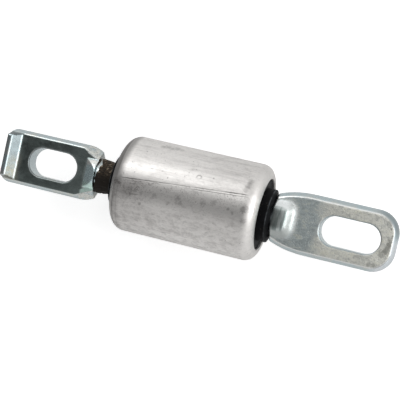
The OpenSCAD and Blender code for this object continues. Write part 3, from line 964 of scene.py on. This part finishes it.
class BUSHING_OT_make_pin(bpy.types.Operator):
    """Forge the bar pin: the CAD solid with rounded edges and slightly uneven faces"""
    bl_idname = "bushing.make_pin"
    bl_label = "Make the bar pin"

    def execute(self, context):
        s = context.scene.bushing.pin
        solid = self.joined_copy(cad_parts["bar_pin"].data)
        piece = place_object("forged_pin", solid.copy())
        modifier = piece.modifiers.new("cells", "REMESH")
        modifier.mode = "VOXEL"
        modifier.voxel_size = s.cell
        modifier.adaptivity = 0.0
        mesh = plain_mesh(piece)
        self.fit_to(mesh, solid, s)
        bpy.data.meshes.remove(solid)
        mesh.shade_smooth()
        mesh.materials.clear()
        mesh.materials.append(zinc_material(s))
        check_box(piece, PIN_BOX)
        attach(piece, "pin")
        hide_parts("bar_pin")
        return {"FINISHED"}

    def joined_copy(self, source):
        """A copy of the node's loose triangles with their corners joined."""
        work = bmesh.new()
        work.from_mesh(source)
        bmesh.ops.remove_doubles(work, verts=work.verts, dist=2e-6)
        mesh = bpy.data.meshes.new("pin_solid")
        work.to_mesh(mesh)
        work.free()
        return mesh

    def sharp_edge_points(self, solid):
        """Points along the solid's sharp edges."""
        work = bmesh.new()
        work.from_mesh(solid)
        found = []
        for edge in work.edges:
            if len(edge.link_faces) == 2 and edge.calc_face_angle(0.0) > EDGE_TURN:
                a, b = edge.verts[0].co, edge.verts[1].co
                steps = max(1, int((b - a).length / EDGE_STEP))
                found += [tuple(a.lerp(b, (i + 0.5) / steps)) for i in range(steps)]
        work.free()
        return found

    def near_edges(self, points, solid, radius):
        """1 at the solid's sharp edges, and 0 away from them."""
        marks = self.sharp_edge_points(solid)
        lookup = KDTree(len(marks))
        for i, mark in enumerate(marks):
            lookup.insert(mark, i)
        lookup.balance()
        away = np.array([lookup.find(Vector(p))[2] for p in points])
        near = np.clip(1.0 - (away - 0.3 * radius) / (1.6 * radius), 0.0, 1.0)
        return near * near * (3.0 - 2.0 * near)

    def fit_to(self, mesh, solid, s):
        """Moves the cells onto the solid's surface, then rounds its edges."""
        points = rows(mesh.vertices, "co")
        tree = BVHTree.FromPolygons([v.co for v in solid.vertices],
                                    [tuple(p.vertices) for p in solid.polygons])
        for i, point in enumerate(points):
            points[i] = tree.find_nearest(Vector(point))[0]
        near = self.near_edges(points, solid, s.edge_radius)
        a, b = rows(mesh.edges, "vertices", 2, np.int64).T
        # The hook's crest and the plain tab's tip keep crisper edges.
        x, y, z = points.T
        crest = ramp_up(z, CREST_FROM, 0.0004)
        tip = ramp_up(x, TIP_FROM, 0.004)
        self.relax(points, a, b, (0.6 - 0.42 * crest - 0.32 * tip) * near, 4)
        # The boss is rounder than the rest, and runs out on the face in a soft fillet.
        boss = (ramp_up(x, BOSS_FROM, 0.0008) * ramp_up(x, BOSS_TO, -0.001)
                * ramp_up(np.abs(y), BOSS_SIDE, -0.001) * (np.abs(z) > BOSS_FOOT))
        self.relax(points, a, b, 0.6 * boss, 34)
        self.seat(points)
        set_points(mesh, points)
        wave = 0.5 + 0.5 * soft_noise(points, 0.011, 21)
        depth = s.sink * np.clip(wave, 0.0, 1.0)
        points -= rows(mesh.vertex_normals, "vector") * depth[:, None]
        set_points(mesh, points)

    def relax(self, points, a, b, weight, rounds):
        """Draws each point towards the middle of its neighbours, by its weight."""
        count = len(points)
        links = np.bincount(a, minlength=count) + np.bincount(b, minlength=count)
        for _ in range(rounds):
            total = np.empty_like(points)
            for axis in range(3):
                total[:, axis] = (np.bincount(a, weights=points[b, axis], minlength=count)
                                  + np.bincount(b, weights=points[a, axis], minlength=count))
            points += weight[:, None] * (total / links[:, None] - points)

    def seat(self, points):
        """Keeps the bar at its own radius where the rubber lies round it."""
        rubber = bpy.context.scene.bushing.rubber
        neck_end = rubber.neck_inside - bpy.context.scene.bushing.sleeve.length / 2.0 + 0.0002
        room = 0.00025
        limit = np.where(points[:, 0] < neck_end, rubber.neck_diameter,
                         rubber.bar_diameter) / 2.0
        inside = ((points[:, 0] > RUBBER_BOX[0][0] - room)
                  & (points[:, 0] < RUBBER_BOX[1][0] + room))
        shrink = np.minimum(limit / from_axis(points), 1.0)
        points[:, 1:] *= np.where(inside, shrink, 1.0)[:, None]


# Stage

SENSOR_WIDTH = 36.0
KEY_PLACE, KEY_SIZE = (-0.44, 0.54, 0.58), (0.50, 0.42)
SIDE_PLACE, SIDE_SIZE = (0.75, 0.10, 0.42), (0.5, 0.5)
CAMERA_PLACE = (0.128334, 0.026903, 0.490736)
CAMERA_RIGHT = Vector((0.94300, 0.21680, -0.25249))
CAMERA_DOWN = Vector((0.22331, -0.97474, -0.00292))
# The way to the tent's dark opening, and the angles where the dark is deepest and ends
OPENING_WAY = Vector((-0.30, -0.10, 0.95)).normalized()
OPENING_ANGLES = math.radians(12.0), math.radians(34.0)
WHITE = (1.0, 1.0, 1.0)


class BUSHING_OT_make_stage(bpy.types.Operator):
    """Set up the table, the soft light and the camera"""
    bl_idname = "bushing.make_stage"
    bl_label = "Make the stage"

    def execute(self, context):
        s = context.scene.bushing.stage
        self.table(s)
        self.world(context.scene)
        self.lamp("key_light", s.key, KEY_PLACE, KEY_SIZE)
        self.lamp("side_light", s.side, SIDE_PLACE, SIDE_SIZE)
        self.camera(context.scene, s)
        context.scene.view_settings.view_transform = "Standard"
        return {"FINISHED"}

    def table(self, s):
        """A pale table under the sleeve, which the camera sees as white but for the shadow."""
        half, drop = s.table_size / 2.0, float(SLEEVE_BOX[0][2]) - 0.00002
        mesh = bpy.data.meshes.new("table")
        mesh.from_pydata([(-half, -half, drop), (half, -half, drop), (half, half, drop),
                          (-half, half, drop)], [], [(0, 1, 2, 3)])
        material = bpy.data.materials.new("pale_table")
        material.use_nodes = True
        tree = material.node_tree
        rays = put(tree, "ShaderNodeLightPath").outputs
        camera, glossy, through = (Wire(tree, rays["Is %s Ray" % name])
                                   for name in ("Camera", "Glossy", "Transmission"))
        seen = most(camera, most(glossy, through) * 0.20)
        feed(tree.nodes["Principled BSDF"], {
            "Base Color": s.table, "Roughness": 0.9, "Specular IOR Level": 0.1,
            "Emission Color": WHITE, "Emission Strength": seen * 0.60})
        mesh.materials.append(material)
        place_object("table", mesh)

    def world(self, scene):
        """A light tent: bright sides, and a dark opening overhead where the camera looks in."""
        world = bpy.data.worlds.new("light_tent")
        scene.world = world
        world.use_nodes = True
        tree = world.node_tree
        tree.nodes.clear()
        way = wire(tree, "ShaderNodeTexCoord", output="Generated")
        x, y, _ = split(way)
        level = (y.ease(0.10, 0.75) * 0.38 + 0.48 + y.ease(-0.15, -0.60) * 0.14
                 + x.ease(0.25, 0.85) * 0.45 - x.ease(-0.45, -0.95) * 0.28)
        deepest, end = (math.cos(angle) for angle in OPENING_ANGLES)
        opening = way.vector("DOT_PRODUCT", tuple(OPENING_WAY), "Value")
        level = level * opening.ease(end, deepest, 1.0, 0.30)
        seen = wire(tree, "ShaderNodeMix",
                    {"Factor": wire(tree, "ShaderNodeLightPath", output="Is Camera Ray"),
                     2: level, 3: 1.0}, data_type="FLOAT")
        back = wire(tree, "ShaderNodeBackground", {"Strength": seen, "Color": WHITE})
        put(tree, "ShaderNodeOutputWorld", {"Surface": back})

    def lamp(self, name, power, place, size):
        """A large soft rectangle of light aimed at the bush."""
        data = bpy.data.lights.new(name, "AREA")
        data.shape = "RECTANGLE"
        data.size, data.size_y = size
        data.energy = power
        lamp = place_object(name, data)
        lamp.location = place
        lamp.rotation_euler = (-Vector(place)).to_track_quat("-Z", "Y").to_euler()

    def camera(self, scene, s):
        """The photograph's view: nearly above the tabs, turned a little to the left."""
        data = bpy.data.cameras.new("camera")
        data.sensor_width = SENSOR_WIDTH
        data.lens = s.focal
        data.clip_start = 0.01
        into = CAMERA_RIGHT.cross(CAMERA_DOWN).normalized()
        turn = Matrix((CAMERA_RIGHT, -CAMERA_DOWN, -into)).transposed().to_4x4()
        camera = place_object("camera", data)
        camera.matrix_world = Matrix.Translation(CAMERA_PLACE) @ turn
        scene.camera = camera


class BUSHING_PT_panel(bpy.types.Panel):
    """The bush's pieces and their settings"""
    bl_label = "Control arm bushing"
    bl_idname = "BUSHING_PT_panel"
    bl_space_type = "VIEW_3D"
    bl_region_type = "UI"
    bl_category = "Bushing"

    def draw(self, context):
        settings = context.scene.bushing
        for piece in ("sleeve", "rubber", "pin", "stage"):
            group = getattr(settings, piece)
            box = self.layout.box()
            box.label(text=piece.capitalize())
            for name in group.bl_rna.properties.keys():
                if name not in {"rna_type", "name"}:
                    box.prop(group, name)
            box.operator("bushing.make_" + piece)


CLASSES = (SleeveSettings, RubberSettings, PinSettings, StageSettings, BushingSettings,
           BUSHING_OT_make_sleeve, BUSHING_OT_make_rubber, BUSHING_OT_make_pin,
           BUSHING_OT_make_stage, BUSHING_PT_panel)


def register():
    for item in CLASSES:
        bpy.utils.register_class(item)
    bpy.types.Scene.bushing = bpy.props.PointerProperty(
        name="Bushing", description="Settings of the bush", type=BushingSettings)


def unregister():
    del bpy.types.Scene.bushing
    for item in reversed(CLASSES):
        bpy.utils.unregister_class(item)


def main():
    register()
    bpy.ops.bushing.make_stage()
    bpy.ops.bushing.make_sleeve()
    bpy.ops.bushing.make_rubber()
    bpy.ops.bushing.make_pin()


if __name__ == "__main__":
    main()
